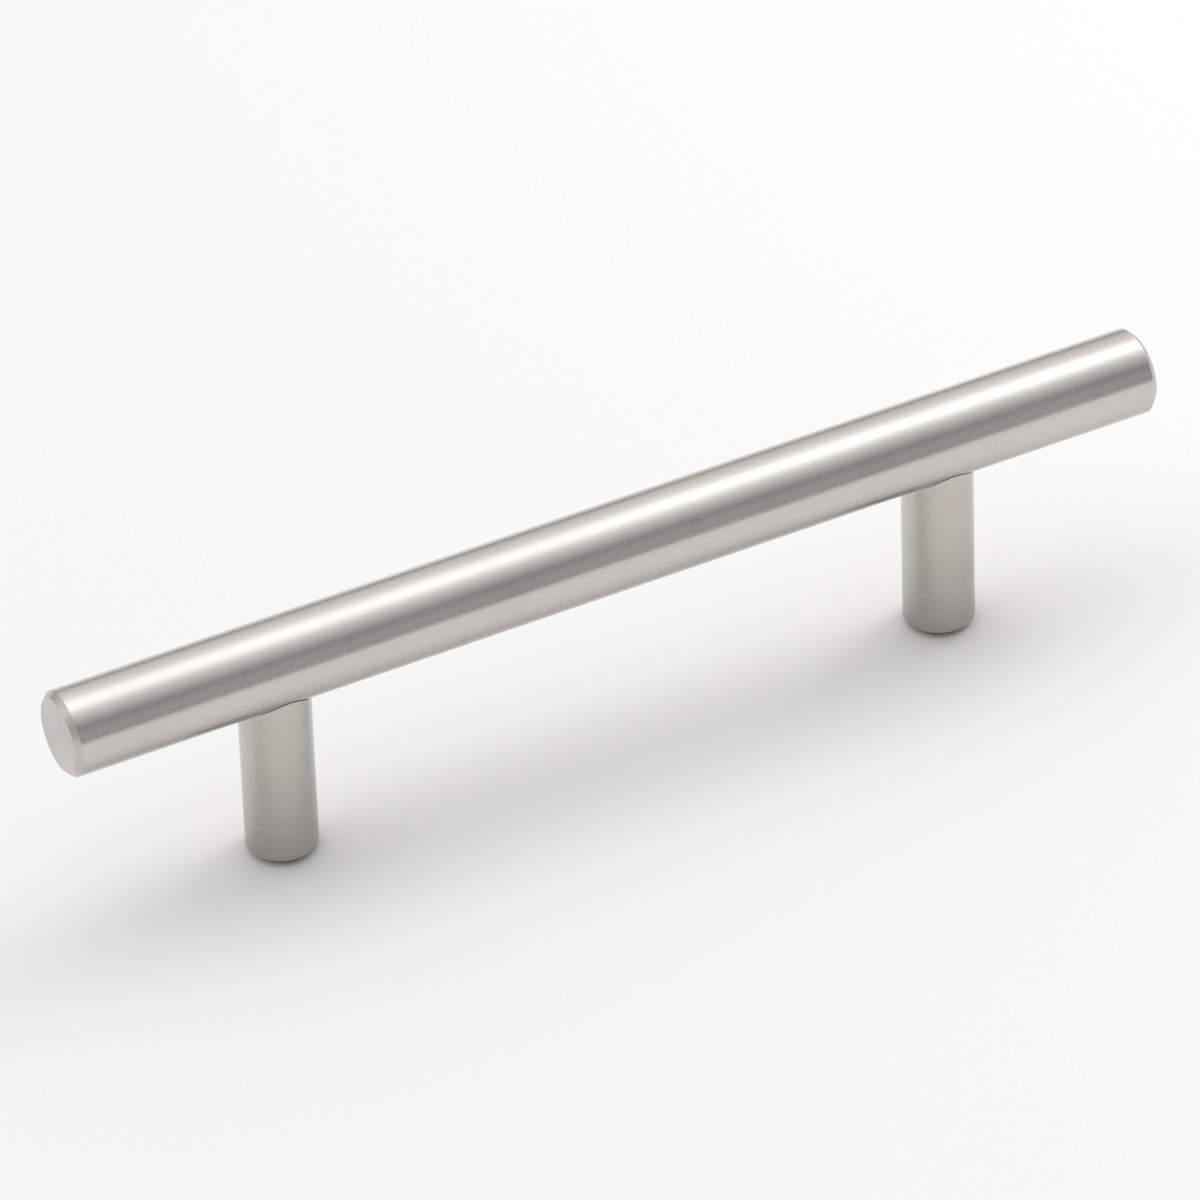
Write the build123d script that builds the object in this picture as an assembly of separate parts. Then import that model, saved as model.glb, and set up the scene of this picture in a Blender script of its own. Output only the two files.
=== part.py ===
"""T-bar cabinet pull: a round bar carried on two round posts.

The bar is a length of ground round rod with its ends chamfered. Each post is a shorter
rod whose top is coped to a saddle, so that it sits on the round of the bar, and whose
base is chamfered and tapped for the machine screw that comes through the drawer front.
A headless set screw, half in the bar and half in the post, draws each saddle up to the bar.

Millimetres. The origin is on the mounting plane, half way between the posts. X runs along
the bar, Y across it, and Z points away from the drawer front, through the posts.
"""
import math
import os

from build123d import *

# The pull as it is sold: its screw spacing, its length and how far it stands out
SCREW_SPACING = 96.0
BAR_LENGTH = 156.0
PROJECTION = 35.0

# Bar
BAR_DIAMETER = 11.5
BAR_END_CHAMFER = 0.8

# Posts
POST_DIAMETER = 9.5
POST_BASE_CHAMFER = 1.0
SADDLE_EDGE_BREAK = 0.12
SADDLE_CLEARANCE = 0.02

# Mounting thread in each post's base, M4 x 0.7
SCREW_MAJOR_DIAMETER = 4.0
SCREW_TAP_DRILL = 3.3
SCREW_THREAD_DEPTH = 10.0
SCREW_DRILL_DEPTH = 12.0
SCREW_COUNTERSINK_DIAMETER = 4.9

# Set screw that joins a post to the bar, M5 x 0.8
STUD_MAJOR_DIAMETER = 5.0
STUD_TAP_DRILL = 4.2
STUD_LENGTH = 10.0
STUD_END_CHAMFER = 0.6
STUD_RADIAL_CLEARANCE = 0.05
STUD_END_CLEARANCE = 0.5
STUD_RUN_OUT = 1.0
STUD_COUNTERSINK_DIAMETER = 5.6
STUD_CUP_DIAMETER = 2.5
STUD_CUP_ANGLE = 120.0
HEX_KEY_SIZE = 2.5
HEX_SOCKET_DEPTH = 2.5

# A twist drill leaves a cone of this included angle at the end of a blind hole
DRILL_POINT_ANGLE = 118.0

# Cutting tools run this far past an open face
OVERRUN = 2.0

# Worked out from the sizes above
BAR_RADIUS = BAR_DIAMETER / 2
BAR_AXIS_HEIGHT = PROJECTION - BAR_RADIUS
SEAT_HEIGHT = PROJECTION - BAR_DIAMETER
SADDLE_RADIUS = BAR_RADIUS + SADDLE_CLEARANCE
STUD_HOLD = STUD_LENGTH / 2
STUD_THREAD_DEPTH = STUD_HOLD + STUD_END_CLEARANCE
STUD_DRILL_DEPTH = STUD_THREAD_DEPTH + STUD_RUN_OUT
POST_PLACES = {"left": -SCREW_SPACING / 2, "right": SCREW_SPACING / 2}


def cone_height(diameter, included_angle):
    """Height of a cone of that base diameter and included angle."""
    return diameter / 2 / math.tan(math.radians(included_angle / 2))


def turned(points):
    """The solid that a closed outline of (radius, height) points sweeps about Z."""
    outline = Plane.XZ * make_face(Polyline(*points, close=True))
    return revolve(outline, Axis.Z)


def tapped_hole(major, tap_drill, thread_depth, drill_depth, countersink):
    """What a drill, a countersink and a tap take out, upwards from a mouth at the origin.

    The full thread is as wide as its major diameter. Past it the tap's lead narrows the
    hole to the tap drill's size, and the drill's own point ends it.
    """
    lip = (countersink - major) / 2
    return turned(
        [
            (0, -OVERRUN),
            (countersink / 2, -OVERRUN),
            (countersink / 2, 0),
            (major / 2, lip),
            (major / 2, thread_depth),
            (tap_drill / 2, drill_depth),
            (0, drill_depth + cone_height(tap_drill, DRILL_POINT_ANGLE)),
        ]
    )


def screw_hole():
    """The M4 hole for the mounting screw, its mouth at the origin."""
    return tapped_hole(
        SCREW_MAJOR_DIAMETER,
        SCREW_TAP_DRILL,
        SCREW_THREAD_DEPTH,
        SCREW_DRILL_DEPTH,
        SCREW_COUNTERSINK_DIAMETER,
    )


def stud_hole():
    """The M5 hole for one half of the set screw, its mouth at the origin."""
    return tapped_hole(
        STUD_MAJOR_DIAMETER,
        STUD_TAP_DRILL,
        STUD_THREAD_DEPTH,
        STUD_DRILL_DEPTH,
        STUD_COUNTERSINK_DIAMETER,
    )


def round_rod_along_x(radius, length):
    """A plain round rod on the bar's axis, centred over the origin."""
    place = Location((0, 0, BAR_AXIS_HEIGHT), (0, 90, 0))
    return place * Cylinder(radius, length)


def make_bar():
    """The handle bar: chamfered ends, and a tapped hole underneath for each set screw."""
    rod = round_rod_along_x(BAR_RADIUS, BAR_LENGTH)
    end_edges = rod.edges().filter_by(GeomType.CIRCLE)
    bar = chamfer(end_edges, BAR_END_CHAMFER)
    for place in POST_PLACES.values():
        bar -= Pos(place, 0, SEAT_HEIGHT) * stud_hole()
    return bar


def make_post():
    """One post, standing at the origin: coped top, chamfered base, a tapped hole each end."""
    blank = Cylinder(
        POST_DIAMETER / 2,
        BAR_AXIS_HEIGHT,
        align=(Align.CENTER, Align.CENTER, Align.MIN),
    )
    base_edge = blank.edges().filter_by(GeomType.CIRCLE).sort_by(Axis.Z)[0]
    blank = chamfer(base_edge, POST_BASE_CHAMFER)
    coped = blank - round_rod_along_x(SADDLE_RADIUS, BAR_LENGTH)
    saddle = coped.faces().sort_by(Axis.Z)[-1]
    post = chamfer(saddle.outer_wire().edges(), SADDLE_EDGE_BREAK)
    post -= screw_hole()
    post -= Pos(0, 0, SEAT_HEIGHT) * mirror(stud_hole(), about=Plane.XY)
    return post


def make_stud():
    """One set screw, standing at the origin: hexagon socket below, cup point above."""
    radius = STUD_MAJOR_DIAMETER / 2 - STUD_RADIAL_CLEARANCE
    top = STUD_LENGTH
    stud = turned(
        [
            (0, 0),
            (radius - STUD_END_CHAMFER, 0),
            (radius, STUD_END_CHAMFER),
            (radius, top - STUD_END_CHAMFER),
            (radius - STUD_END_CHAMFER, top),
            (STUD_CUP_DIAMETER / 2, top),
            (0, top - cone_height(STUD_CUP_DIAMETER, STUD_CUP_ANGLE)),
        ]
    )
    hexagon = RegularPolygon(HEX_KEY_SIZE / 2, 6, major_radius=False)
    socket_point = turned(
        [
            (0, HEX_SOCKET_DEPTH),
            (HEX_KEY_SIZE / 2, HEX_SOCKET_DEPTH),
            (0, HEX_SOCKET_DEPTH + cone_height(HEX_KEY_SIZE, DRILL_POINT_ANGLE)),
        ]
    )
    return stud - extrude(hexagon, HEX_SOCKET_DEPTH) - socket_point


def make_parts():
    """Every piece of the pull by its name, each in its place."""
    parts = {"bar": make_bar()}
    for side, place in POST_PLACES.items():
        parts[side + "_post"] = Pos(place, 0, 0) * make_post()
        parts[side + "_stud"] = Pos(place, 0, SEAT_HEIGHT - STUD_HOLD) * make_stud()
    return parts


def main():
    """Writes one STEP file for each piece."""
    os.makedirs("parts", exist_ok=True)
    for name, shape in make_parts().items():
        solids = shape.solids()
        export_step(solids[0] if len(solids) == 1 else Compound(solids), f"parts/{name}.step")


main()
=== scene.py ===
"""Looks of a round T-bar cabinet pull: a straight bar on two coped posts, in satin nickel.

Metres. The origin is on the mounting plane, half way between the posts. X runs along the
bar, Y across it, and Z points away from the drawer front, through the posts.
"""
import logging
import math
from collections.abc import Callable, Sequence
from dataclasses import dataclass, field
from enum import Enum

import bpy
import numpy as np
from mathutils import Matrix, Vector


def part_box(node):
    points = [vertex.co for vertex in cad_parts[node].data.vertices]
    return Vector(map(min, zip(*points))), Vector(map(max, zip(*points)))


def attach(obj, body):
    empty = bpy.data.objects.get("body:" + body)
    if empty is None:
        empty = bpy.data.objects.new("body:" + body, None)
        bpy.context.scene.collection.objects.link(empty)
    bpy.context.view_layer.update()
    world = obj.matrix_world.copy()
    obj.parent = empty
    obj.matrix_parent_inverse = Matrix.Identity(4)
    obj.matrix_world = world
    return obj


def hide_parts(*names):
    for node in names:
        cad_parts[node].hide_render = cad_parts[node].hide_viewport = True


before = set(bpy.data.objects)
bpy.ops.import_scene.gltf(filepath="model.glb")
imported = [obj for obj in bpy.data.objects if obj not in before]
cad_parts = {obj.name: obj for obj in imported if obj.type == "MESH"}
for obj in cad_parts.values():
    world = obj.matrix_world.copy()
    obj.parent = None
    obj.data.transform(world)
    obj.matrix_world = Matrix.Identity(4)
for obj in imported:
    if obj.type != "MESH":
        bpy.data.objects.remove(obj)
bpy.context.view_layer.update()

Array = np.ndarray
Value = np.ndarray | float
Colour = tuple[float, float, float]

# Mesh attributes that the finishes read
ALONG = "along"
EDGE = "edge"
CUT = "cut"

# Places along an outline keep this many digits of a metre, and nearer points are one point
PLACE_DIGITS = 9
SAME_POINT = 1e-9

# Extra points this far from the end of a straight run hold its shading flat beside a round
GUARDS = (3e-5, 1.5e-4)

# A point this far inside the ground surface lies on a cut one
CUT_DEPTH = 1e-6

# A turn of the outline that counts as a full edge, and one from which an edge is sharp
EDGE_TURN = math.radians(6)
SHARP_TURN = math.radians(35)

# Rows for each pitch of a thread, and the share of its wave's height cut off at each point
ROWS_PER_PITCH = 8
THREAD_FLAT = 0.15

# A twist drill leaves a cone of this included angle, which is divided into these steps
DRILL_POINT = math.radians(118)
CONE_STEPS = 6

# Cubic millimetres in a cubic metre
CUBIC_MM = 1e9

log = logging.getLogger("cabinet_pull")


class Side(Enum):
    """The two ends of the pull, each with its direction along X."""

    LEFT = -1
    RIGHT = 1

    def named(self, piece: str) -> str:
        """The name of the piece of that kind on this side."""
        return f"{self.name.lower()}_{piece}"


class TurnAxis(Enum):
    """The axis that a piece was turned and brushed about."""

    ALONG_BAR = "X"
    ALONG_POST = "Z"


@dataclass(frozen=True)
class Corner:
    """A corner of a turned outline: distance out from the axis, height, and its round."""

    out: float
    height: float
    round: float = 0.0


@dataclass
class Rings:
    """Rings of points round an axis, row after row: how far out and how high each one is."""

    out: Array
    height: Array

    @classmethod
    def spread(cls, out: Value, height: Value, shape: tuple[int, int]) -> "Rings":
        """Rings of the given rows and columns, from values that are the same along either."""
        return cls(np.broadcast_to(out, shape).copy(), np.broadcast_to(height, shape).copy())

    def then(self, other: "Rings") -> "Rings":
        """These rings and the other's, whose first row repeats the last one here."""
        height = np.concatenate((self.height, other.height[1:]))
        return Rings(np.concatenate((self.out, other.out[1:])), height)

    def turned_round(self) -> "Rings":
        """The same rings in the opposite order."""
        return Rings(self.out[::-1], self.height[::-1])

    def run(self) -> Array:
        """Distance along each column from the first row, as the sum of its steps' lengths."""
        steps = np.hypot(np.diff(self.out, axis=0), np.diff(self.height, axis=0))
        return np.concatenate((np.zeros((1, steps.shape[1])), np.cumsum(steps, axis=0)))

    def inside(self, radius: float) -> Array:
        """1 at each point that lies within the given radius, 0 on or outside it."""
        return (self.out < radius - CUT_DEPTH).astype(float)

    def edge(self) -> Array:
        """How sharply the outline turns at each point: 0 on a straight run, 1 on a round.

        The angle between a row's two steps is divided by the turn that counts as a full edge.

        Returns:
            The value at each point, zero in the first and last rows.
        """
        direction = np.arctan2(np.diff(self.height, axis=0), np.diff(self.out, axis=0))
        change = np.diff(direction, axis=0)
        turn = np.abs(np.mod(change + math.pi, 2 * math.pi) - math.pi)
        middle = np.clip(turn / EDGE_TURN, 0, 1)
        return np.pad(middle, ((1, 1), (0, 0)))


class Skin:
    """A closed skin put together from grids of points that share their edge rows."""

    def __init__(self) -> None:
        """Starts with no points."""
        self.points: list[Array] = []
        self.values: dict[str, list[Array]] = {ALONG: [], EDGE: [], CUT: []}
        self.quads: list[Array] = []
        self.count = 0

    def add(self, points: Array, along: Array, edge: Value = 0.0, cut: Value = 0.0) -> Array:
        """Takes in a grid of points.

        A row whose points all coincide becomes one point, the pole of its grid.

        Args:
            points: Places, rows by columns by three.
            along: Distance across the brushing lines at each point.
            edge: How near each point is to a worn edge, 0 to 1.
            cut: 1 where a tool's cut was left as it was, 0 where the metal was ground.

        Returns:
            The index of each point, rows by columns.
        """
        shape = points.shape[:2]
        index = np.arange(self.count, self.count + shape[0] * shape[1]).reshape(shape)
        self.count += index.size
        self.points.append(points.reshape(-1, 3))
        for title, value in ((ALONG, along), (EDGE, edge), (CUT, cut)):
            self.values[title].append(np.broadcast_to(value, shape).ravel())
        pole = np.ptp(points, axis=1).max(axis=1) < SAME_POINT
        index[pole] = index[pole][:, :1]
        return index

    def cover(self, index: Array, keep: Array | None = None) -> None:
        """Lays quads between neighbouring rows of indices, each row a closed ring.

        Args:
            index: Indices of points, rows by columns.
            keep: Which quads to lay, one row fewer than the indices. Without it, all are laid.
        """
        ahead = np.roll(index, -1, axis=1)
        quads = np.stack((index[:-1], ahead[:-1], ahead[1:], index[1:]), axis=-1)
        chosen = quads.reshape(-1, 4) if keep is None else quads[keep]
        self.quads.append(chosen)

    def to_object(self, name: str) -> bpy.types.Object:
        """Makes the mesh object, with its faces outwards and its attributes.

        The skin's volume is the sum over its quads of a . (b x c) + a . (c x d), over six.
        Where that is negative, every face is turned over.

        Args:
            name: The object's name.

        Returns:
            The new object, linked to the scene.
        """
        quads = np.concatenate(self.quads)
        used, place = np.unique(quads, return_inverse=True)
        quads = place.reshape(quads.shape)
        points = np.concatenate(self.points)[used]
        a, b, c, d = (points[quads[:, k]] for k in range(4))
        volume = float(np.sum(a * (np.cross(b, c) + np.cross(c, d)))) / 6
        if volume < 0:
            quads = quads[:, ::-1]
        first_pole = quads[:, 0] == quads[:, 1]
        last_pole = quads[:, 2] == quads[:, 3]
        fans = np.concatenate((quads[first_pole][:, 1:], quads[last_pole][:, :3]))
        whole = quads[~(first_pole | last_pole)]
        mesh = bpy.data.meshes.new(name)
        mesh.from_pydata(points.tolist(), [], fans.tolist() + whole.tolist())
        for title, rows in self.values.items():
            values = np.concatenate(rows)[used].astype(np.float32)
            mesh.attributes.new(title, "FLOAT", "POINT").data.foreach_set("value", values)
        mesh.shade_smooth()
        mesh.set_sharp_from_angle(angle=SHARP_TURN)
        log.info("%s: %d faces, %.1f mm3", name, len(mesh.polygons), abs(volume) * CUBIC_MM)
        return in_scene(name, mesh)


def in_scene(name: str, data: bpy.types.ID) -> bpy.types.Object:
    """Makes an object and links it to the scene.

    Args:
        name: The object's name.
        data: Its mesh, light or camera.

    Returns:
        The new object.
    """
    made = bpy.data.objects.new(name, data)
    bpy.context.scene.collection.objects.link(made)
    return made


def ring_angles(columns: int) -> Array:
    """Angles that divide a turn evenly, the first one zero."""
    return np.arange(columns) * (2 * math.pi / columns)


def turned_piece(
    name: str, rings: Rings, angle: Array, centre: float, cut: Value = 0.0
) -> bpy.types.Object:
    """Builds a piece that was turned about an upright axis.

    A point at distance r out and angle a lies at x = centre + r cos a and y = r sin a.
    Brushing lines follow the height plus the distance out, so they circle the piece.

    Args:
        name: The object's name.
        rings: Its rings, from one pole to the other.
        angle: Direction of each column round the axis.
        centre: Where the axis stands along X.
        cut: 1 where a tool's cut was left as it was.

    Returns:
        The new object.
    """
    x = centre + rings.out * np.cos(angle)
    points = np.stack((x, rings.out * np.sin(angle), rings.height), axis=-1)
    skin = Skin()
    skin.cover(skin.add(points, rings.height + rings.out, rings.edge(), cut))
    return skin.to_object(name)


def guarded(length: float, step: float) -> Array:
    """Distances along a straight run, even in its middle and closer near its two ends.

    Args:
        length: The run's length.
        step: The longest step in its middle.

    Returns:
        Rising distances from zero to the length.
    """
    even = np.linspace(0, length, max(2, math.ceil(length / step) + 1))
    near = np.array([guard for guard in GUARDS if guard < length / 3])
    return np.unique(np.concatenate((even, near, length - near)).round(PLACE_DIGITS))


def round_corner(t: Array, start: Value, corner: Value, end: Value) -> Array:
    """The curve (1 - t)^2 A + 2 t (1 - t) C + t^2 B, which goes from A to B round C."""
    return (1 - t) ** 2 * start + 2 * t * (1 - t) * corner + t**2 * end


def rounded_outline(corners: Sequence[Corner], step: float, arc_steps: int = 6) -> Array:
    """Points along a turned outline with rounded corners.

    Each round is a curve between two points that lie on the corner's sides, as far from it
    as the corner says. The sides between the curves are straight.

    Args:
        corners: The outline's corners in order, the first and last of them its ends.
        step: The longest step along a straight side.
        arc_steps: Steps along one round.

    Returns:
        Distance out and height of each point, in two columns.
    """
    places = np.array([(corner.out, corner.height) for corner in corners])
    rounds = np.array([corner.round for corner in corners])
    path = [places[:1]]
    t = np.linspace(0, 1, arc_steps + 1)[:, None]
    for k in range(1, len(corners)):
        side = places[k] - places[k - 1]
        unit = side / np.linalg.norm(side)
        start = places[k - 1] + unit * rounds[k - 1]
        end = places[k] - unit * rounds[k]
        length = float(np.linalg.norm(end - start))
        path.append((start + unit * guarded(length, step)[:, None])[1:])
        if rounds[k] > 0 and k + 1 < len(corners):
            onward = places[k + 1] - places[k]
            beyond = places[k] + onward / np.linalg.norm(onward) * rounds[k]
            path.append(round_corner(t, end, places[k], beyond)[1:])
    return np.concatenate(path)


def thread_ridge(angle: Array, height: Array, pitch: float) -> Array:
    """How far a right-hand thread's flank stands at a point: 0 in the groove, 1 on the ridge.

    The height in pitches, less the turn, gives the place in the thread's cycle. The ridge is
    a triangle wave of it with both of its points cut flat.

    Args:
        angle: Direction round the thread's axis.
        height: Height along it.
        pitch: Height of one turn of the thread.

    Returns:
        The value at each point.
    """
    cycle = np.mod(height / pitch - angle / (2 * math.pi), 1)
    return np.clip((np.abs(2 * cycle - 1) - THREAD_FLAT) / (1 - 2 * THREAD_FLAT), 0, 1)


@dataclass(frozen=True)
class TappedHole:
    """A blind hole, drilled, tapped and countersunk, with its mouth in the seat plane."""

    major: float
    tap_drill: float
    pitch: float
    thread_depth: float
    drill_depth: float
    countersink: float
    mouth_passes: int = 12

    def radius(self, angle: Array, height: Array, depth: Array) -> Array:
        """The wall's distance from the axis.

        It is the thread's, or the countersink's where that is wider, and past the full
        thread no more than a taper that comes in to the tap drill's size.

        Args:
            angle: Direction round the axis.
            height: Height in the shared frame, which sets the thread's phase.
            depth: Depth below the seat plane.

        Returns:
            The radius at each point.
        """
        drop = (self.major - self.tap_drill) / 2
        thread = self.major / 2 - drop * thread_ridge(angle, height, self.pitch)
        lead_in = np.minimum(self.countersink / 2 - depth, self.countersink / 2)
        past = (depth - self.thread_depth) / (self.drill_depth - self.thread_depth)
        run_out = self.major / 2 - drop * np.minimum(past, 1)
        return np.minimum(np.maximum(thread, lead_in), run_out)

    def mouth(
        self, angle: Array, seat: float, inward: int, surface: Callable[[Array], Array]
    ) -> tuple[Array, Array]:
        """The curve in which the hole's wall comes out through a curved surface.

        The radius and the surface's height there are worked out in turn until they agree.

        Args:
            angle: Direction of each column round the hole's axis.
            seat: Height of the seat plane.
            inward: 1 for a hole that goes up from its mouth, -1 for one that goes down.
            surface: The surface's height at a given distance out, column by column.

        Returns:
            Distance out and height, column by column.
        """
        out = np.full(angle.shape, self.countersink / 2)
        for _ in range(self.mouth_passes):
            height = surface(out)
            out = self.radius(angle, height, (height - seat) * inward)
        return out, surface(out)

    def wall(self, angle: Array, seat: float, inward: int, mouth: tuple[Array, Array]) -> Rings:
        """Rings of the hole's wall, from its mouth to the tip that the drill left.

        Each column is divided evenly from its own mouth down to the drilled depth, and the
        cone below that narrows evenly to its tip.

        Args:
            angle: Direction of each column round the hole's axis.
            seat: Height of the seat plane.
            inward: 1 for a hole that goes up from its mouth, -1 for one that goes down.
            mouth: Distance out and height at the mouth, column by column.

        Returns:
            The rings, whose last row is the tip.
        """
        out, height = mouth
        rows = math.ceil(self.drill_depth / self.pitch * ROWS_PER_PITCH)
        share = np.linspace(0, 1, rows + 1)[:, None]
        start = (height - seat) * inward
        depth = start + share * (self.drill_depth - start)
        levels = seat + inward * depth
        outs = self.radius(angle, levels, depth)
        outs[0] = out
        tip = self.tap_drill / 2 / math.tan(DRILL_POINT / 2)
        fall = np.linspace(0, 1, CONE_STEPS + 1)[:, None]
        cone_height = seat + inward * (self.drill_depth + tip * fall)
        cone_out = self.tap_drill / 2 * (1 - fall)
        cone = Rings.spread(cone_out, cone_height, (CONE_STEPS + 1, angle.size))
        return Rings(outs, levels).then(cone)


# M4 for the mounting screw and M5 for the set screw
SCREW_HOLE = TappedHole(
    major=0.004,
    tap_drill=0.0033,
    pitch=0.0007,
    thread_depth=0.010,
    drill_depth=0.012,
    countersink=0.0049,
)
STUD_HOLE = TappedHole(
    major=0.005,
    tap_drill=0.0042,
    pitch=0.0008,
    thread_depth=0.0055,
    drill_depth=0.0065,
    countersink=0.0056,
)


@dataclass(frozen=True)
class Layout:
    """Places that more than one piece is built on."""

    post_offset: float = 0.048
    axis_height: float = 0.02925
    seat_height: float = 0.0235
    saddle_radius: float = 0.00577

    def post_x(self, side: Side) -> float:
        """Where the post on that side stands."""
        return side.value * self.post_offset


@dataclass
class Bar:
    """The handle bar: a ground rod with chamfered ends and a tapped hole over each post."""

    layout: Layout
    end_chamfer: float = 0.0008
    edge_round: float = 0.00007
    columns: int = 256
    hole_columns: int = 24
    hole_rows: int = 20
    hole_window: float = 0.0032
    patch_shares: tuple[float, ...] = (0.25, 0.5, 0.7, 0.85, 0.95, 1.0)
    middle_stations: int = 65
    end_step: float = 0.0012
    face_step: float = 0.0006
    radius: float = field(init=False)
    axis_height: float = field(init=False)
    half_length: float = field(init=False)

    def __post_init__(self) -> None:
        """Takes the rod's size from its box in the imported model, so that the skin keeps to it."""
        low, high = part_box("bar")
        self.radius = (high.y - low.y) / 2
        self.axis_height = high.z - self.radius
        self.half_length = (high.x - low.x) / 2

    def stations(self) -> Array:
        """Places along the rod's straight part, even across each hole's window.

        Returns:
            Rising distances along X, the same on both sides of the middle.
        """
        end = self.half_length - self.end_chamfer - self.edge_round
        post = self.layout.post_offset
        near, far = post - self.hole_window, post + self.hole_window
        outer = far + guarded(end - far, self.end_step)
        window = np.linspace(near, far, 2 * self.hole_rows + 1)
        middle = np.linspace(-near, near, self.middle_stations)
        right = np.concatenate((window[:-1], outer))
        return np.concatenate((-right[::-1], middle[1:-1], right))

    def rings(self) -> Rings:
        """Rings round the rod from the middle of its left end to that of its right one.

        Returns:
            The rings, whose height is the distance along X.
        """
        face = self.radius - self.end_chamfer
        shoulder = self.half_length - self.end_chamfer
        corners = (
            Corner(0, -self.half_length),
            Corner(face, -self.half_length, self.edge_round),
            Corner(self.radius, -shoulder, self.edge_round),
            Corner(self.radius, -shoulder + 2 * self.edge_round),
        )
        end = rounded_outline(corners, self.face_step)
        stations = self.stations()
        end = end[end[:, 1] < stations[0] - SAME_POINT]
        out = np.concatenate((end[:, 0], np.full(stations.size, self.radius), end[::-1, 0]))
        height = np.concatenate((end[:, 1], stations, -end[::-1, 1]))
        return Rings.spread(out[:, None], height[:, None], (out.size, self.columns))

    def underside(self, y: Array) -> Array:
        """Height of the rod's lower surface: the axis less the root of radius^2 - y^2."""
        return self.axis_height - np.sqrt(self.radius**2 - y**2)

    def open_hole(self, skin: Skin, grid: Array, rings: Rings, along: Array, side: Side) -> Array:
        """Fits one tapped hole into a window of the rod's grid.

        The window's rim is joined to the hole's mouth by rings that go evenly from one to
        the other in plan, each point lifted on to the rod.

        Args:
            skin: The skin that takes the new points.
            grid: Indices of the rod's own points.
            rings: The rod's rings.
            along: Distance along the rod's outline, one value for each row.
            side: Which post the hole is over.

        Returns:
            Which of the rod's own quads the window leaves out.
        """
        centre = self.layout.post_x(side)
        stations = rings.height[:, 0]
        first = int(np.argmin(np.abs(stations - (centre - self.hole_window))))
        last = first + 2 * self.hole_rows
        low = self.columns // 2 - self.hole_columns
        high = self.columns // 2 + self.hole_columns
        rows = np.arange(first, last)
        columns = np.arange(low, high)
        outward = (grid[first, columns], grid[rows, high])
        homeward = (grid[last, columns + 1][::-1], grid[rows + 1, low][::-1])
        rim = np.concatenate(outward + homeward)
        rim_points = np.concatenate(skin.points)[rim]
        angle = np.arctan2(rim_points[:, 1], rim_points[:, 0] - centre)
        sine, cosine = np.sin(angle), np.cos(angle)
        seat = self.layout.seat_height
        mouth = STUD_HOLE.mouth(angle, seat, 1, lambda out: self.underside(out * sine))
        share = np.array(self.patch_shares)[:, None]
        x = (1 - share) * rim_points[:, 0] + share * (centre + mouth[0] * cosine)
        y = (1 - share) * rim_points[:, 1] + share * mouth[0] * sine
        patch = np.stack((x, y, self.underside(y)), axis=-1)
        wall = STUD_HOLE.wall(angle, seat, 1, mouth)
        inside = np.stack((centre + wall.out * cosine, wall.out * sine, wall.height), axis=-1)
        points = np.concatenate((patch, inside[1:]))
        shift = float(along[first] - stations[first])
        index = skin.add(points, points[..., 0] + shift)
        skin.cover(np.concatenate((rim[None, :], index)))
        window = np.zeros((grid.shape[0] - 1, self.columns), dtype=bool)
        window[first:last, low:high] = True
        return window

    def build(self) -> bpy.types.Object:
        """Builds the rod.

        A point at distance r out and angle a round the axis, from straight down, lies at
        y = r sin a and z = axis - r cos a.

        Returns:
            The bar's object.
        """
        rings = self.rings()
        angle = ring_angles(self.columns) - math.pi
        y = rings.out * np.sin(angle)
        z = self.axis_height - rings.out * np.cos(angle)
        points = np.stack((rings.height, y, z), axis=-1)
        along = rings.run()
        skin = Skin()
        grid = skin.add(points, along, rings.edge(), rings.inside(self.radius))
        windows = [self.open_hole(skin, grid, rings, along[:, 0], side) for side in Side]
        skin.cover(grid, ~(windows[0] | windows[1]))
        return skin.to_object("bar_rod")


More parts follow.
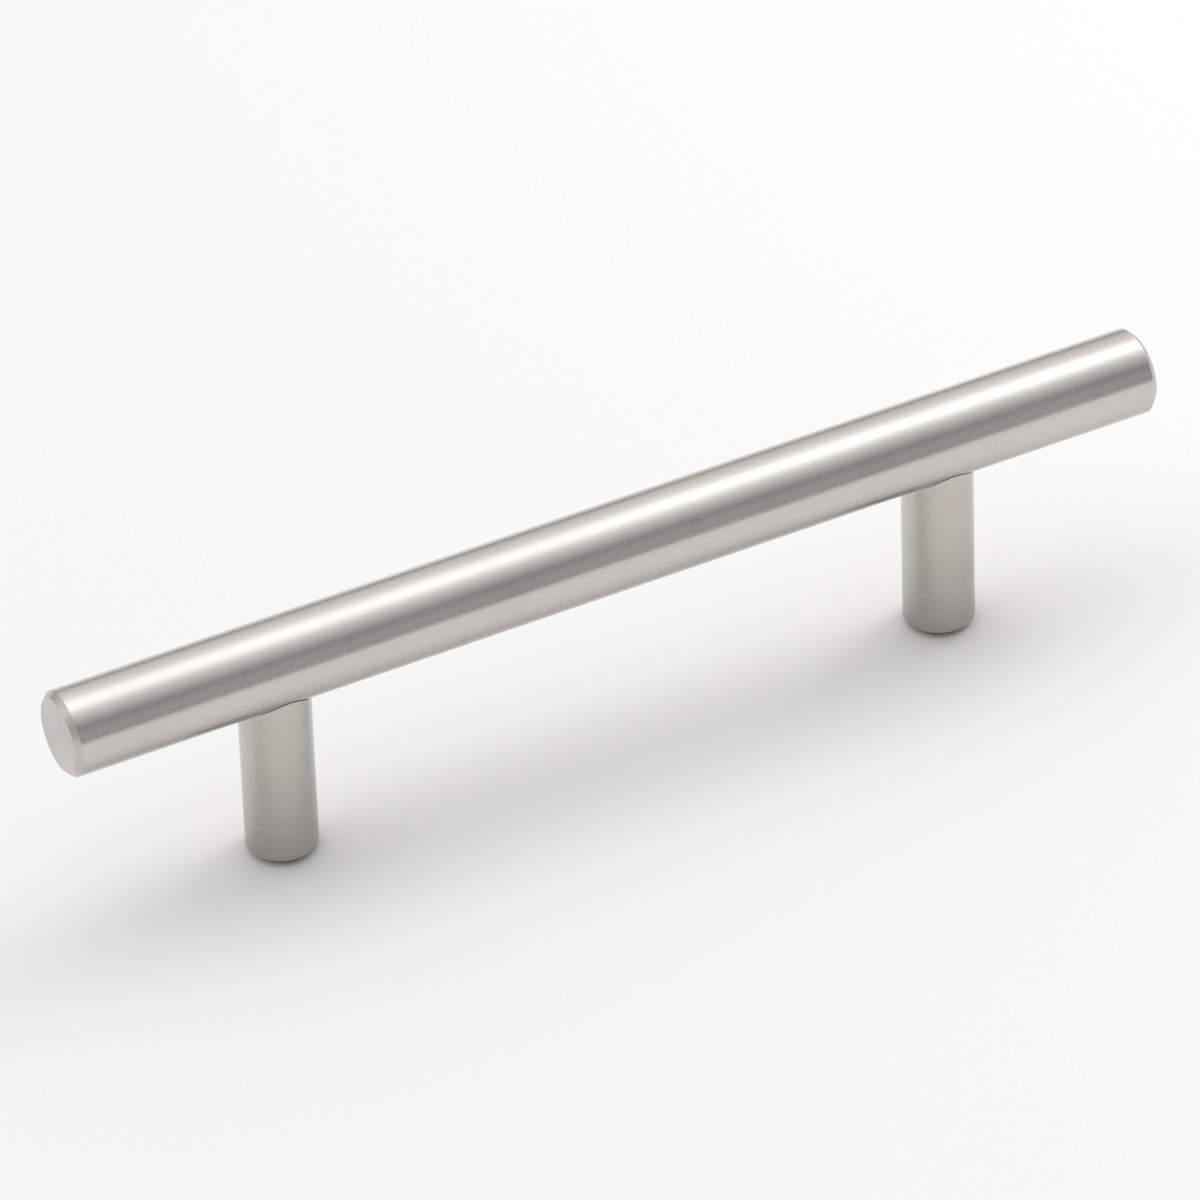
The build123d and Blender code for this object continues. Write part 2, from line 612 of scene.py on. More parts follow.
@dataclass
class Post:
    """One post: coped to the bar, chamfered at its base, with a tapped hole at each end."""

    layout: Layout
    side: Side
    radius: float = 0.00475
    base_chamfer: float = 0.001
    saddle_break: float = 0.00012
    edge_round: float = 0.00007
    columns: int = 160
    saddle_shares: tuple[float, ...] = (0, 0.02, 0.08, 0.2, 0.35, 0.5, 0.65, 0.8, 0.92, 0.98, 1)
    rim_steps: int = 6
    rim_drops: tuple[float, ...] = (0, *GUARDS, 0.0005)
    wall_drops: tuple[float, float] = (0.0015, 0.0190)
    wall_rows: int = 15
    wall_foot: float = 0.003
    foot_step: float = 0.0005

    def saddle(self, out: Value, angle: Array) -> Array:
        """Height of the saddle: the bar's axis less the root of radius^2 - (out sin a)^2."""
        across = out * np.sin(angle)
        return self.layout.axis_height - np.sqrt(self.layout.saddle_radius**2 - across**2)

    def rings(self, angle: Array) -> Rings:
        """Rings over the whole post, from one hole's tip round the outside to the other's.

        The saddle's rim is rounded from a point on the saddle to a point on the wall, about
        the corner where the two meet.

        Args:
            angle: Direction of each column round the post's axis.

        Returns:
            The rings, whose first and last rows are the holes' tips.
        """
        seat = self.layout.seat_height
        mouth = STUD_HOLE.mouth(angle, seat, -1, lambda out: self.saddle(out, angle))
        stud_hole = STUD_HOLE.wall(angle, seat, -1, mouth).turned_round()
        inner = self.radius - self.saddle_break
        share = np.array(self.saddle_shares)[:, None]
        saddle_out = mouth[0] + share * (inner - mouth[0])
        saddle = Rings(saddle_out, self.saddle(saddle_out, angle))
        t = np.linspace(0, 1, self.rim_steps + 1)[:, None]
        corner_height = self.saddle(self.radius, angle)
        wall_top = corner_height - self.saddle_break
        rim_out = round_corner(t, inner, self.radius, self.radius)
        rim_height = round_corner(t, self.saddle(inner, angle), corner_height, wall_top)
        rim = Rings.spread(rim_out, rim_height, rim_height.shape)
        even = np.linspace(*self.wall_drops, self.wall_rows)
        drop = np.concatenate((self.rim_drops, even))[:, None]
        lowest = np.full((1, angle.size), self.wall_foot)
        upper_height = np.concatenate((wall_top - drop, lowest))
        upper = Rings.spread(self.radius, upper_height, upper_height.shape)
        corners = (
            Corner(self.radius, self.wall_foot),
            Corner(self.radius, self.base_chamfer, self.edge_round),
            Corner(self.radius - self.base_chamfer, 0, self.edge_round),
            Corner(SCREW_HOLE.countersink / 2, 0),
        )
        foot = rounded_outline(corners, self.foot_step)
        base = Rings.spread(foot[:, :1], foot[:, 1:], (len(foot), angle.size))
        edge = (base.out[-1], base.height[-1])
        screw_hole = SCREW_HOLE.wall(angle, 0.0, 1, edge)
        return stud_hole.then(saddle).then(rim).then(upper).then(base).then(screw_hole)

    def build(self) -> bpy.types.Object:
        """Builds the post. Whatever lies inside its ground wall was left as a tool cut it.

        Returns:
            The post's object.
        """
        angle = ring_angles(self.columns)
        rings = self.rings(angle)
        centre = self.layout.post_x(self.side)
        cut = rings.inside(self.radius)
        return turned_piece(self.side.named("standoff"), rings, angle, centre, cut)


@dataclass
class SetScrew:
    """The headless screw inside one joint: hexagon socket below, cup point above."""

    layout: Layout
    side: Side
    radius: float = 0.00245
    thread_fall: float = 0.00047
    length: float = 0.010
    end_chamfer: float = 0.0006
    key_size: float = 0.0025
    socket_depth: float = 0.0025
    socket_lip: float = 0.00012
    cup_radius: float = 0.00125
    cup_angle: float = math.radians(120)
    socket_steps: tuple[int, ...] = (6, 3, 8, 2, 3)
    point_steps: tuple[int, ...] = (3, 6)
    columns: int = 144

    def key_outline(self, angle: Array) -> Array:
        """Half the key's width over the cosine of the angle from the nearest flat's middle."""
        sixth = math.pi / 3
        return self.key_size / 2 / np.cos(np.mod(angle, sixth) - sixth / 2)

    def rings(self, angle: Array) -> Rings:
        """Rings from the tip of the socket round the outside to the tip of the cup.

        Args:
            angle: Direction of each column round the screw's axis.

        Returns:
            The rings, whose first and last rows are the two tips.
        """
        foot = self.layout.seat_height - self.length / 2
        top = foot + self.length
        key = self.key_outline(angle)
        shaft = self.radius - self.end_chamfer
        drill = self.key_size / 2
        floor = foot + self.socket_depth
        tip = floor + drill / math.tan(DRILL_POINT / 2)
        cup = top - self.cup_radius / math.tan(self.cup_angle / 2)
        lip = key + self.socket_lip
        outs = (0, drill, key, key, lip, shaft)
        heights = (tip, floor, floor, foot + self.socket_lip, foot, foot)
        socket = self.joined(outs, heights, self.socket_steps)
        rows = math.ceil(self.length / STUD_HOLE.pitch * ROWS_PER_PITCH)
        level = foot + np.linspace(0, 1, rows + 1)[:, None] * self.length
        inset = np.minimum(level - foot, top - level)
        ridge = thread_ridge(angle, level, STUD_HOLE.pitch)
        thread = self.radius - self.thread_fall * ridge
        body = Rings.spread(np.minimum(thread, shaft + inset), level, (rows + 1, angle.size))
        point = self.joined((shaft, self.cup_radius, 0), (top, top, cup), self.point_steps)
        return socket.then(body).then(point)

    def joined(
        self, outs: Sequence[Value], heights: Sequence[float], steps: Sequence[int]
    ) -> Rings:
        """Rings that go evenly from each of the given rings to the next.

        Args:
            outs: Distance out of each given ring, in all or column by column.
            heights: Height of each given ring.
            steps: Steps between each ring and the next.

        Returns:
            All of the rings.
        """
        rings = Rings.spread(outs[0], heights[0], (1, self.columns))
        for k, count in enumerate(steps):
            share = np.linspace(0, 1, count + 1)[:, None]
            out = (1 - share) * outs[k] + share * outs[k + 1]
            height = (1 - share) * heights[k] + share * heights[k + 1]
            rings = rings.then(Rings.spread(out, height, (count + 1, self.columns)))
        return rings

    def build(self) -> bpy.types.Object:
        """Builds the screw.

        Returns:
            The screw's object.
        """
        angle = ring_angles(self.columns)
        centre = self.layout.post_x(self.side)
        return turned_piece(self.side.named("set_screw"), self.rings(angle), angle, centre)


class SocketKind(Enum):
    """What an input of a node group carries."""

    VECTOR = "NodeSocketVector"
    NUMBER = "NodeSocketFloat"


class Mask(Enum):
    """Values from 0 to 1 that the effects give over a piece."""

    FINE = "fine lines"
    BROAD = "broad lines"
    CLOUD = "clouds"
    WEAR = "worn edges"
    CUT = "faces that a tool cut"


@dataclass(frozen=True)
class Recipe:
    """A plain level, and how much each mask adds to it, in the order of adding."""

    plain: float
    shares: tuple[tuple[Mask, float], ...]


class Wiring:
    """Adds nodes to a node tree and joins their sockets."""

    def __init__(self, tree: bpy.types.NodeTree) -> None:
        """Works on the given tree."""
        self.tree = tree

    def feed(self, socket: bpy.types.NodeSocket, source: object) -> None:
        """Joins a socket to a source socket, or sets it to a plain value.

        Args:
            socket: The input.
            source: What feeds it.
        """
        if isinstance(source, bpy.types.NodeSocket):
            self.tree.links.new(source, socket)
        else:
            socket.default_value = source

    def wire(self, node: bpy.types.Node, sources: dict[str, object]) -> bpy.types.NodeOutputs:
        """Feeds a node's inputs by their names.

        Args:
            node: The node.
            sources: What feeds each input, by the input's name.

        Returns:
            The node's outputs.
        """
        for title, source in sources.items():
            self.feed(node.inputs[title], source)
        return node.outputs

    def node(self, kind: str, *sources: object, **settings: object) -> bpy.types.Node:
        """Adds a node.

        Args:
            kind: Blender's name for that kind of node.
            sources: What feeds its first inputs, in order.
            settings: Its settings by name.

        Returns:
            The new node.
        """
        made = self.tree.nodes.new(kind)
        for title, value in settings.items():
            setattr(made, title, value)
        for socket, source in zip(made.inputs, sources):
            self.feed(socket, source)
        return made

    def math(self, operation: str, *sources: object, clamp: bool = False) -> bpy.types.NodeSocket:
        """The result of a Math node, kept between 0 and 1 where it is clamped."""
        made = self.node("ShaderNodeMath", *sources, operation=operation, use_clamp=clamp)
        return made.outputs[0]

    def mixture(
        self, recipe: Recipe, masks: dict[Mask, object], clamp: bool = False
    ) -> bpy.types.NodeSocket:
        """A recipe's plain level plus each of its masks times its share.

        Args:
            recipe: The level and the shares.
            masks: Where each mask comes from.
            clamp: Whether the last sum is kept between 0 and 1.

        Returns:
            The last sum.
        """
        total: object = recipe.plain
        last, _ = recipe.shares[-1]
        for mask, share in recipe.shares:
            held = clamp and mask is last
            total = self.math("MULTIPLY_ADD", masks[mask], share, total, clamp=held)
        return total

    def scaled(self, vector: object, factor: object) -> bpy.types.NodeSocket:
        """A vector times a number."""
        made = self.node("ShaderNodeVectorMath", vector, operation="SCALE")
        return self.wire(made, {"Scale": factor})[0]

    def parts(self, vector: object) -> bpy.types.NodeOutputs:
        """The X, Y and Z of a vector."""
        return self.node("ShaderNodeSeparateXYZ", vector).outputs

    def place(self) -> bpy.types.NodeSocket:
        """The point's place on the piece."""
        return self.node("ShaderNodeTexCoord").outputs["Object"]

    def attribute(self, name: str) -> bpy.types.NodeSocket:
        """A value that the piece's mesh carries."""
        return self.node("ShaderNodeAttribute", attribute_name=name).outputs["Fac"]

    def noise(self, place: object, detail: float, roughness: float = 0.5) -> bpy.types.NodeSocket:
        """Noise of unit scale at the given coordinates, centred on a half."""
        made = self.node("ShaderNodeTexNoise", place, noise_dimensions="3D")
        return self.wire(made, {"Scale": 1.0, "Detail": detail, "Roughness": roughness})["Fac"]

    def spread(self, value: object, limits: tuple[float, float]) -> bpy.types.NodeSocket:
        """Stretches what lies between two limits over 0 to 1, smoothly, and holds the rest."""
        made = self.node("ShaderNodeMapRange", value, *limits, interpolation_type="SMOOTHSTEP")
        return made.outputs["Result"]

    def blend(self, share: object, first: object, second: object) -> bpy.types.NodeSocket:
        """Mixes two colours.

        Args:
            share: How much of the second one there is, 0 to 1.
            first: The first colour.
            second: The second colour.

        Returns:
            The mixed colour.
        """
        mix = self.node("ShaderNodeMix", data_type="RGBA")
        outputs = self.wire(mix, {"Factor": share, "A": first, "B": second})
        return next(output for output in outputs if output.type == "RGBA")

    def relief(self, height: object, strength: float, distance: float) -> bpy.types.NodeSocket:
        """The normal that a height gives to the surface."""
        sources = {"Strength": strength, "Distance": distance, "Height": height}
        return self.wire(self.node("ShaderNodeBump"), sources)["Normal"]


def opaque(colour: Colour) -> tuple[float, float, float, float]:
    """The colour with its fourth value, as sockets take it."""
    return (*colour, 1.0)


def new_material(name: str) -> tuple[bpy.types.Material, Wiring, bpy.types.Node]:
    """Makes a material.

    Args:
        name: Its name.

    Returns:
        The material, the wiring of its tree and its Principled shader.
    """
    made = bpy.data.materials.new(name)
    made.use_nodes = True
    return made, Wiring(made.node_tree), made.node_tree.nodes["Principled BSDF"]


class EffectGroup:
    """A node group with named sockets, which each finish places with its own values."""

    def __init__(self, name: str, numbers: Sequence[str], outputs: Sequence[str]) -> None:
        """Makes the group and its sockets, the first of them the place on the piece.

        Args:
            name: The group's name.
            numbers: Names of its other inputs, each a number.
            outputs: Names of its outputs, each a number that varies over the surface.
        """
        self.tree = bpy.data.node_groups.new(name, "ShaderNodeTree")
        sockets = [("Place", "INPUT", SocketKind.VECTOR)]
        sockets += [(title, "INPUT", SocketKind.NUMBER) for title in numbers]
        sockets += [(title, "OUTPUT", SocketKind.NUMBER) for title in outputs]
        for title, way, kind in sockets:
            self.tree.interface.new_socket(name=title, in_out=way, socket_type=kind.value)
        self.wiring = Wiring(self.tree)
        self.given = self.wiring.node("NodeGroupInput").outputs
        self.result = self.wiring.node("NodeGroupOutput")

    def place(self, wiring: Wiring, sources: dict[str, object]) -> bpy.types.NodeOutputs:
        """Places the group in another tree, its inputs fed by name, and gives its outputs."""
        return wiring.wire(wiring.node("ShaderNodeGroup", node_tree=self.tree), sources)


@dataclass(frozen=True)
class LineWidth:
    """One width of brushing line: its share of the count, its drift and its detail."""

    title: str
    share: float
    drift: float
    detail: float


@dataclass
class Effects:
    """The effects that the finishes share: lines, clouds, worn edges and painted shade over the low
    part.
    """

    line_widths: tuple[LineWidth, ...] = (
        LineWidth("Fine", 1.0, 20.0, 2.0),
        LineWidth("Broad", 0.16, 6.0, 3.0),
    )
    line_limits: tuple[float, float] = (0.25, 0.75)
    cloud_detail: float = 3.0
    cloud_roughness: float = 0.55
    cloud_limits: tuple[float, float] = (0.3, 0.7)
    wear_scale: float = 900.0
    wear_detail: float = 2.0
    wear_gain: float = 0.9
    wear_least: float = 0.35
    fade_cloud: float = 0.167
    lines: EffectGroup = field(init=False)
    cloud: EffectGroup = field(init=False)
    wear: EffectGroup = field(init=False)
    low: EffectGroup = field(init=False)

    def __post_init__(self) -> None:
        """Builds each group once."""
        self.lines = self.brushing_lines()
        self.cloud = self.soft_cloud()
        self.wear = self.worn_edges()
        self.low = self.dull_low_part()

    def brushing_lines(self) -> EffectGroup:
        """Fine lines that circle a turned piece.

        The noise is read at the place on the piece, slowly, plus the distance along its
        outline, quickly, so that it hardly changes round the piece. Two widths are made.

        Returns:
            The group.
        """
        titles = [width.title for width in self.line_widths]
        group = EffectGroup("brushing_lines", ("Along", "Lines"), titles)
        wiring = group.wiring
        for width in self.line_widths:
            count = wiring.math("MULTIPLY", group.given["Lines"], width.share)
            across = wiring.math("MULTIPLY", group.given["Along"], count)
            offset = wiring.node("ShaderNodeCombineXYZ", across).outputs[0]
            slow = wiring.scaled(group.given["Place"], width.drift)
            place = wiring.node("ShaderNodeVectorMath", slow, offset, operation="ADD").outputs[0]
            lines = wiring.spread(wiring.noise(place, width.detail), self.line_limits)
            wiring.wire(group.result, {width.title: lines})
        return group

    def soft_cloud(self) -> EffectGroup:
        """Soft clouds of a given size, as handling and plating leave on metal.

        Returns:
            The group.
        """
        group = EffectGroup("soft_cloud", ("Scale",), ("Cloud",))
        wiring = group.wiring
        place = wiring.scaled(group.given["Place"], group.given["Scale"])
        noise = wiring.noise(place, self.cloud_detail, self.cloud_roughness)
        wiring.wire(group.result, {"Cloud": wiring.spread(noise, self.cloud_limits)})
        return group

    def worn_edges(self) -> EffectGroup:
        """Edges that handling has polished, broken up unevenly along their length.

        Returns:
            The group.
        """
        group = EffectGroup("worn_edges", ("Edge",), ("Wear",))
        wiring = group.wiring
        place = wiring.scaled(group.given["Place"], self.wear_scale)
        uneven = wiring.noise(place, self.wear_detail)
        share = wiring.math("MULTIPLY_ADD", uneven, self.wear_gain, self.wear_least)
        wear = wiring.math("MULTIPLY", group.given["Edge"], share, clamp=True)
        wiring.wire(group.result, {"Wear": wear})
        return group

    def dull_low_part(self) -> EffectGroup:
        """Painted shade: how far down a point is from one height to another, with clouds in the
        fading.
        The darkening it gives stands in for the floor's shadow that the low parts reflect.

        Returns:
            The group.
        """
        group = EffectGroup("dull_low_part", ("Cloud", "Bright", "Dull"), ("Low",))
        wiring = group.wiring
        bright = group.given["Bright"]
        drop = wiring.math("SUBTRACT", bright, wiring.parts(group.given["Place"])["Z"])
        share = wiring.math("DIVIDE", drop, wiring.math("SUBTRACT", bright, group.given["Dull"]))
        uneven = wiring.math("MULTIPLY_ADD", group.given["Cloud"], -self.fade_cloud, share)
        wiring.wire(group.result, {"Low": wiring.spread(uneven, (0.0, 1.0))})
        return group

    def handled(
        self, wiring: Wiring, place: bpy.types.NodeSocket, cloud_scale: float
    ) -> dict[Mask, bpy.types.NodeSocket]:
        """Places the clouds and the worn edges, which every finish has.

        Args:
            wiring: The finish's tree.
            place: The place on the piece.
            cloud_scale: How many clouds there are to a metre.

        Returns:
            The two masks.
        """
        cloud = self.cloud.place(wiring, {"Place": place, "Scale": cloud_scale})
        wear = self.wear.place(wiring, {"Place": place, "Edge": wiring.attribute(EDGE)})
        return {Mask.CLOUD: cloud["Cloud"], Mask.WEAR: wear["Wear"]}


@dataclass(frozen=True)
class SatinNickel:
    """Satin nickel over a brushed ground, its lines running round the axis of turning."""

    name: str
    axis: TurnAxis
    effects: Effects
    light: Colour
    dark: Colour
    # Colour scale on faces that a tool cut; on the posts, whose base chamfer is among them, this is
    # mostly painted shade
    cut_and_shade_share: float = 0.93
    # Painted shade: the colour falls to this share from the first of these heights down to the
    # second
    low_shade_share: float = 0.82
    low_shade_heights: tuple[float, float] = (0.0280, 0.0262)
    lines: float = 11000.0
    line_height: float = 0.0000003
    broad_relief: float = 0.6
    cloud_scale: float = 70.0
    anisotropy: float = 0.5
    anisotropy_turn: float = 0.25
    tone: Recipe = Recipe(
        0.27, ((Mask.FINE, 0.12), (Mask.BROAD, 0.14), (Mask.CLOUD, 0.3), (Mask.WEAR, 0.6))
    )
    roughness: Recipe = Recipe(
        0.21,
        (
            (Mask.FINE, 0.04),
            (Mask.CUT, 0.05),
            (Mask.BROAD, 0.035),
            (Mask.CLOUD, 0.03),
            (Mask.WEAR, -0.08),
        ),
    )

    def material(self) -> bpy.types.Material:
        """Makes the finish's material.

        Returns:
            Metal whose colour, roughness and relief follow the lines, clouds and edges. The
            faces that a tool cut are rougher and darker; on the posts' base chamfer that darkening
            is painted shade, for the contact shadow the chamfer reflects. The low part is darkened
            too, painted shade for the floor's shadow that the bar's underside and the feet reflect.
        """
        made, wiring, shader = new_material(self.name)
        place = wiring.place()
        along = wiring.attribute(ALONG)
        cut = wiring.attribute(CUT)
        sources = {"Place": place, "Along": along, "Lines": self.lines}
        lines = self.effects.lines.place(wiring, sources)
        masks = self.effects.handled(wiring, place, self.cloud_scale)
        masks |= {Mask.FINE: lines["Fine"], Mask.BROAD: lines["Broad"], Mask.CUT: cut}
        # Painted shade over the low part, and on the posts' cut faces, scales the colour
        bright, shaded = self.low_shade_heights
        fade = {"Place": place, "Cloud": masks[Mask.CLOUD], "Bright": bright, "Dull": shaded}
        low = self.effects.low.place(wiring, fade)
        low_shade_level = wiring.math("MULTIPLY_ADD", low["Low"], self.low_shade_share - 1, 1.0)
        cut_and_shade_step = wiring.math("SUBTRACT", self.cut_and_shade_share, low_shade_level)
        level = wiring.math("MULTIPLY_ADD", cut, cut_and_shade_step, low_shade_level)
        tone = wiring.mixture(self.tone, masks, clamp=True)
        metal = wiring.blend(tone, opaque(self.dark), opaque(self.light))
        height = wiring.math("MULTIPLY_ADD", lines["Broad"], self.broad_relief, lines["Fine"])
        round_axis = wiring.node("ShaderNodeTangent", direction_type="RADIAL", axis=self.axis.value)
        sources = {
            "Base Color": wiring.scaled(metal, level),
            "Roughness": wiring.mixture(self.roughness, masks),
            "Normal": wiring.relief(height, 1.0, self.line_height),
            "Tangent": round_axis.outputs["Tangent"],
            "Metallic": 1.0,
            "Anisotropic": self.anisotropy,
            "Anisotropic Rotation": self.anisotropy_turn,
        }
        wiring.wire(shader, sources)
        return made


@dataclass(frozen=True)
class BlackOxide:
    """Black oxide on alloy steel, worn to bare metal along the thread's ridges."""

    name: str
    effects: Effects
    coat: Colour = (0.020, 0.020, 0.022)
    bare: Colour = (0.110, 0.108, 0.105)
    metallic: float = 0.9
    cloud_scale: float = 600.0
    relief_strength: float = 0.6
    relief_height: float = 0.000004
    tone: Recipe = Recipe(0.0, ((Mask.CLOUD, 0.3), (Mask.WEAR, 0.5)))
    roughness: Recipe = Recipe(0.38, ((Mask.CLOUD, 0.15),))

    def material(self) -> bpy.types.Material:
        """Makes the finish's material.

        Returns:
            Dark metal with soft clouds, lighter where its edges are worn.
        """
        made, wiring, shader = new_material(self.name)
        masks = self.effects.handled(wiring, wiring.place(), self.cloud_scale)
        cloud = masks[Mask.CLOUD]
        tone = wiring.mixture(self.tone, masks)
        sources = {
            "Base Color": wiring.blend(tone, opaque(self.coat), opaque(self.bare)),
            "Roughness": wiring.mixture(self.roughness, masks),
            "Normal": wiring.relief(cloud, self.relief_strength, self.relief_height),
            "Metallic": self.metallic,
        }
        wiring.wire(shader, sources)
        return made


@dataclass(frozen=True)
class Studio:
    """A pale floor inside a soft white tent, with one softbox up to the right."""

    layout: Layout
    floor_half: float = 3.0
    floor_lines: int = 5
    floor_drop: float = 0.00002
    floor_opening: float = 0.0036
    floor_colour: Colour = (0.885, 0.86, 0.86)
    floor_roughness: float = 0.9
    tent_strength: float = 2.0
    sideways_level: float = 0.54
    sideways_limits: tuple[float, float] = (0.45, 0.95)
    cool_tint: float = 0.04
    cool_fade: tuple[float, float] = (105.0, 135.0)
    softbox_place: tuple[float, float, float] = (0.62, 0.14, 0.52)
    softbox_aim: tuple[float, float, float] = (0.0, 0.0, 0.03)
    softbox_side: float = 0.36
    softbox_power: float = 1.32
    # Tent's brightness at each angle up from the front horizon, over the top, to the back one
    tent: tuple[tuple[float, float], ...] = (
        (0, 0.33), (8, 0.42), (15, 0.47), (25, 0.465), (32, 0.405), (38, 0.34),
        (44, 0.375), (50, 0.5), (56, 0.61), (65, 0.76), (74, 0.88), (81, 1.09),
        (88, 1.39), (94, 1.66), (104, 1.70), (113, 1.65), (120, 1.45), (128, 1.13),
        (135, 1.0), (145, 0.93), (154, 0.86), (163, 0.66), (172, 0.42), (180, 0.32),
    )

    def build(self) -> None:
        """Sets up the floor, the tent and the softbox."""
        self.lay_floor()
        self.hang_tent()
        self.hang_softbox()

    def lay_floor(self) -> None:
        """Lays a flat floor just under the posts, which isn't seen from below."""
        span = np.linspace(-self.floor_half, self.floor_half, self.floor_lines)
        x, y = np.meshgrid(span, span, indexing="ij")
        points = np.stack((x, y, np.full_like(x, -self.floor_drop)), axis=-1).reshape(-1, 3)
        index = np.arange(points.shape[0]).reshape(x.shape)
        quads = np.stack((index[:-1, :-1], index[1:, :-1], index[1:, 1:], index[:-1, 1:]), axis=-1)
        mesh = bpy.data.meshes.new("floor")
        mesh.from_pydata(points.tolist(), [], quads.reshape(-1, 4).tolist())
        mesh.materials.append(self.floor_material())
        in_scene("floor", mesh)

    def floor_material(self) -> bpy.types.Material:
        """Matt pale floor, clear where it is looked at from below.

        It is open right under each post, out to less than the base's flat, so that a base
        seen from below has light. A point's distance from the nearest post's axis is the
        root of (|x| - offset)^2 + y^2.

        Returns:
            The floor's material.
        """
        made, wiring, shader = new_material("floor_pale")
        finish = {
            "Base Color": opaque(self.floor_colour),
            "Roughness": self.floor_roughness,
            "Specular IOR Level": 0.0,
        }
        wiring.wire(shader, finish)
        below = wiring.node("ShaderNodeNewGeometry").outputs["Backfacing"]
        x, y, _ = wiring.parts(wiring.place())
        aside = wiring.math("SUBTRACT", wiring.math("ABSOLUTE", x), self.layout.post_offset)
        square = wiring.math("MULTIPLY_ADD", aside, aside, wiring.math("MULTIPLY", y, y))
        under = wiring.math("LESS_THAN", square, self.floor_opening**2)
        opening = wiring.math("MAXIMUM", below, under)
        clear = wiring.node("ShaderNodeBsdfTransparent").outputs[0]
        mix = wiring.node("ShaderNodeMixShader", opening, shader.outputs[0], clear)
        wiring.wire(made.node_tree.nodes["Material Output"], {"Surface": mix.outputs[0]})
        return made

    def hang_tent(self) -> None:
        """Makes the world a soft tent whose brightness follows the angle over the bar.

        That angle is the arctangent of the height over the forward part of a direction.
        Straight along the bar, where it means nothing, the tent goes to one even grey. Its
        front half is a little cooler, with less red than green and blue.
        """
        world = bpy.data.worlds.new("tent")
        bpy.context.scene.world = world
        world.use_nodes = True
        wiring = Wiring(world.node_tree)
        x, y, z = wiring.parts(wiring.node("ShaderNodeTexCoord").outputs["Generated"])
        forward = wiring.math("MULTIPLY", y, -1.0)
        turn = wiring.math("ARCTAN2", wiring.math("ABSOLUTE", z), forward)
        ramp = wiring.node("ShaderNodeValToRGB", wiring.math("DIVIDE", turn, math.pi))
        stops = ramp.color_ramp.elements
        given = len(stops)
        for k, (degrees, level) in enumerate(self.tent):
            share = degrees / 180
            stop = stops[k] if k < given else stops.new(share)
            stop.position = share
            tone = level / self.tent_strength
            coolness = float(np.interp(degrees, self.cool_fade, (1.0, 0.0)))
            stop.color = opaque((tone * (1 - self.cool_tint * coolness), tone, tone))
        sideways = wiring.spread(wiring.math("MULTIPLY", x, x), self.sideways_limits)
        aside = self.sideways_level / self.tent_strength
        colour = wiring.blend(sideways, ramp.outputs[0], opaque((aside, aside, aside)))
        background = world.node_tree.nodes["Background"]
        wiring.wire(background, {"Color": colour, "Strength": self.tent_strength})

    def hang_softbox(self) -> None:
        """Hangs the softbox up to the right, where the camera sees no reflection of it."""
        light = bpy.data.lights.new("softbox", "AREA")
        light.shape = "SQUARE"
        light.size = self.softbox_side
        light.energy = self.softbox_power
        place = Vector(self.softbox_place)
        away = place - Vector(self.softbox_aim)
        turn = away.to_track_quat("Z", "Y").to_matrix().to_4x4()
        in_scene("softbox", light).matrix_world = Matrix.Translation(place) @ turn


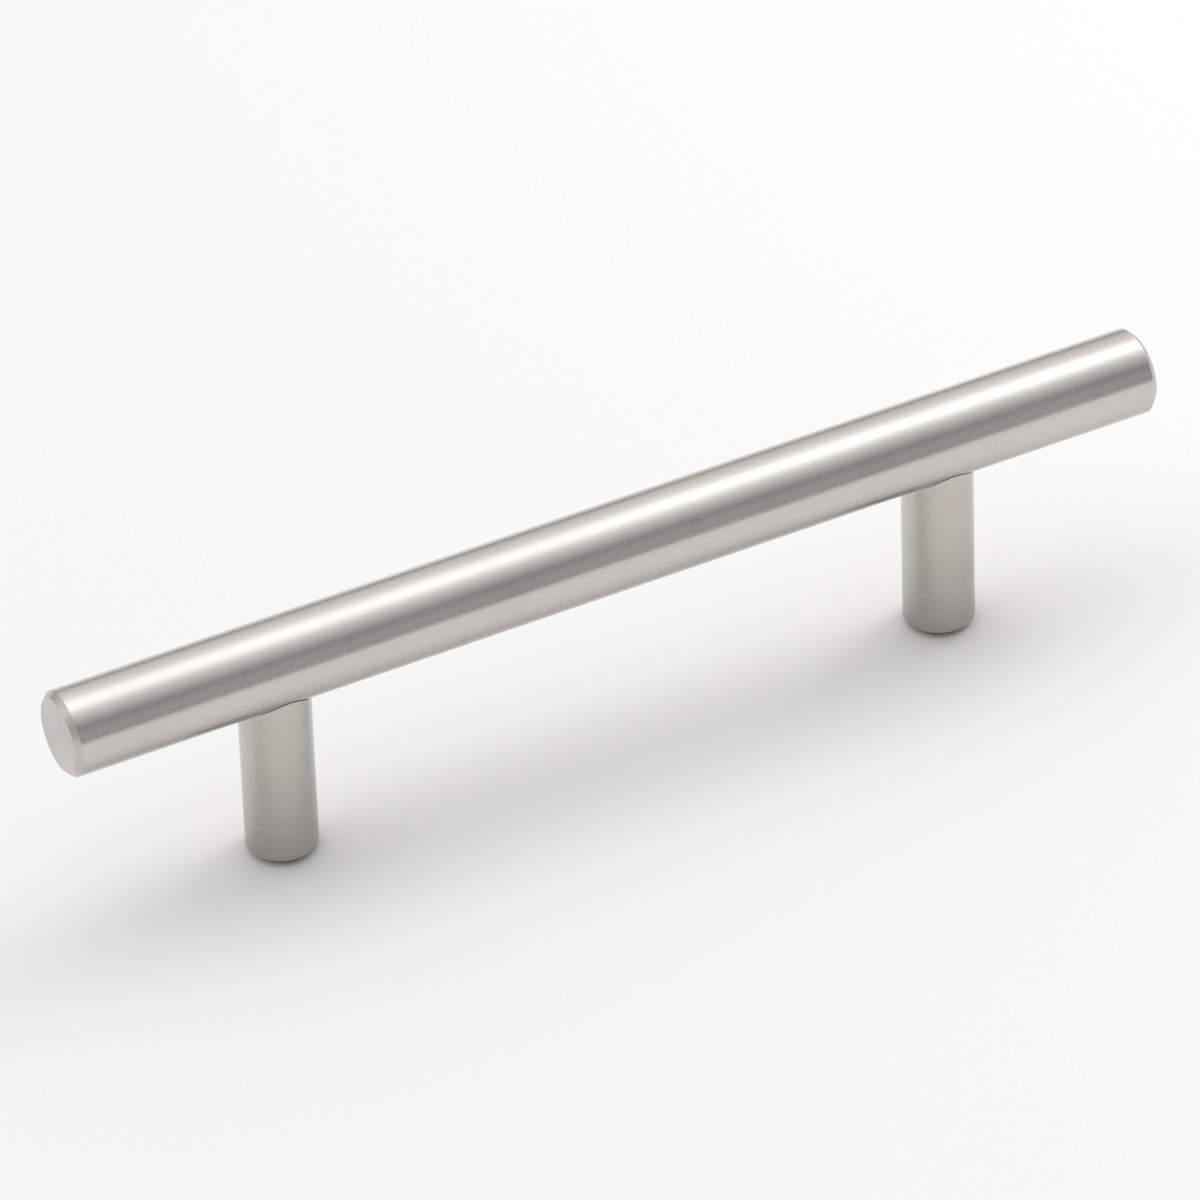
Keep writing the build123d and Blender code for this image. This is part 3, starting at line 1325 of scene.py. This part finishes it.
@dataclass(frozen=True)
class PhotoCamera:
    """The camera, at the photograph's angle, distance and framing."""

    azimuth: float = math.radians(-26.547)
    elevation: float = math.radians(37.207)
    roll: float = math.radians(-2.047)
    distance: float = 1.45412
    aim_height: float = 0.020
    shift_right: float = -0.00130470
    shift_down: float = -0.00080967
    lens: float = 340.2
    sensor: float = 36.0
    nearest: float = 0.05
    farthest: float = 20.0

    def build(self) -> None:
        """Places the camera and makes it the scene's.

        It looks from the direction (sin a cos e, -cos a cos e, sin e) for azimuth a and
        elevation e, and is then rolled about its own line of sight.
        """
        level = math.cos(self.elevation)
        sideways = math.sin(self.azimuth) * level
        onward = -math.cos(self.azimuth) * level
        back = Vector((sideways, onward, math.sin(self.elevation)))
        right = Vector((0, 0, 1)).cross(back).normalized()
        up = back.cross(right)
        rolled_right = right * math.cos(self.roll) + up * math.sin(self.roll)
        rolled_up = up * math.cos(self.roll) - right * math.sin(self.roll)
        aim = Vector((0, 0, self.aim_height))
        aim += rolled_right * self.shift_right - rolled_up * self.shift_down
        data = bpy.data.cameras.new("photo_camera")
        data.lens = self.lens
        data.sensor_width = self.sensor
        data.clip_start = self.nearest
        data.clip_end = self.farthest
        camera = in_scene("photo_camera", data)
        turn = Matrix((rolled_right, rolled_up, back)).transposed().to_4x4()
        camera.matrix_world = Matrix.Translation(aim + back * self.distance) @ turn
        bpy.context.scene.camera = camera


def dress(piece: bpy.types.Object, finish: bpy.types.Material, node: str) -> None:
    """Gives a piece its finish and puts it in the place of a CAD node.

    Args:
        piece: The new piece.
        finish: Its material.
        node: The CAD node that it stands for.
    """
    piece.data.materials.append(finish)
    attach(piece, "root")
    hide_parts(node)
    log.info("%s stands for %s", piece.name, node)


def main() -> None:
    """Builds and dresses the pull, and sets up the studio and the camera."""
    logging.basicConfig(level=logging.INFO, format="%(name)s: %(message)s")
    bpy.context.scene.view_settings.view_transform = "Standard"
    layout = Layout()
    effects = Effects()
    bar_finish = SatinNickel(
        "satin_nickel_bar",
        TurnAxis.ALONG_BAR,
        effects,
        light=(0.655, 0.613, 0.585),
        dark=(0.569, 0.533, 0.508),
    ).material()
    # Posts: a warmer satin nickel than the bar, set darker partly as painted shade for the floor's
    # shadow they reflect
    post_finish = SatinNickel(
        "satin_nickel_post",
        TurnAxis.ALONG_POST,
        effects,
        light=(0.605, 0.561, 0.528),
        dark=(0.525, 0.487, 0.458),
        # Painted shade: the posts' base chamfer and feet are darkened far more than the bar's faces
        cut_and_shade_share=0.61,
        low_shade_share=0.78,
        low_shade_heights=(0.020, 0.002),
    ).material()
    screw_finish = BlackOxide("black_oxide", effects).material()
    dress(Bar(layout).build(), bar_finish, "bar")
    for side in Side:
        dress(Post(layout, side).build(), post_finish, side.named("post"))
        dress(SetScrew(layout, side).build(), screw_finish, side.named("stud"))
    Studio(layout).build()
    PhotoCamera().build()


if __name__ == "__main__":
    main()
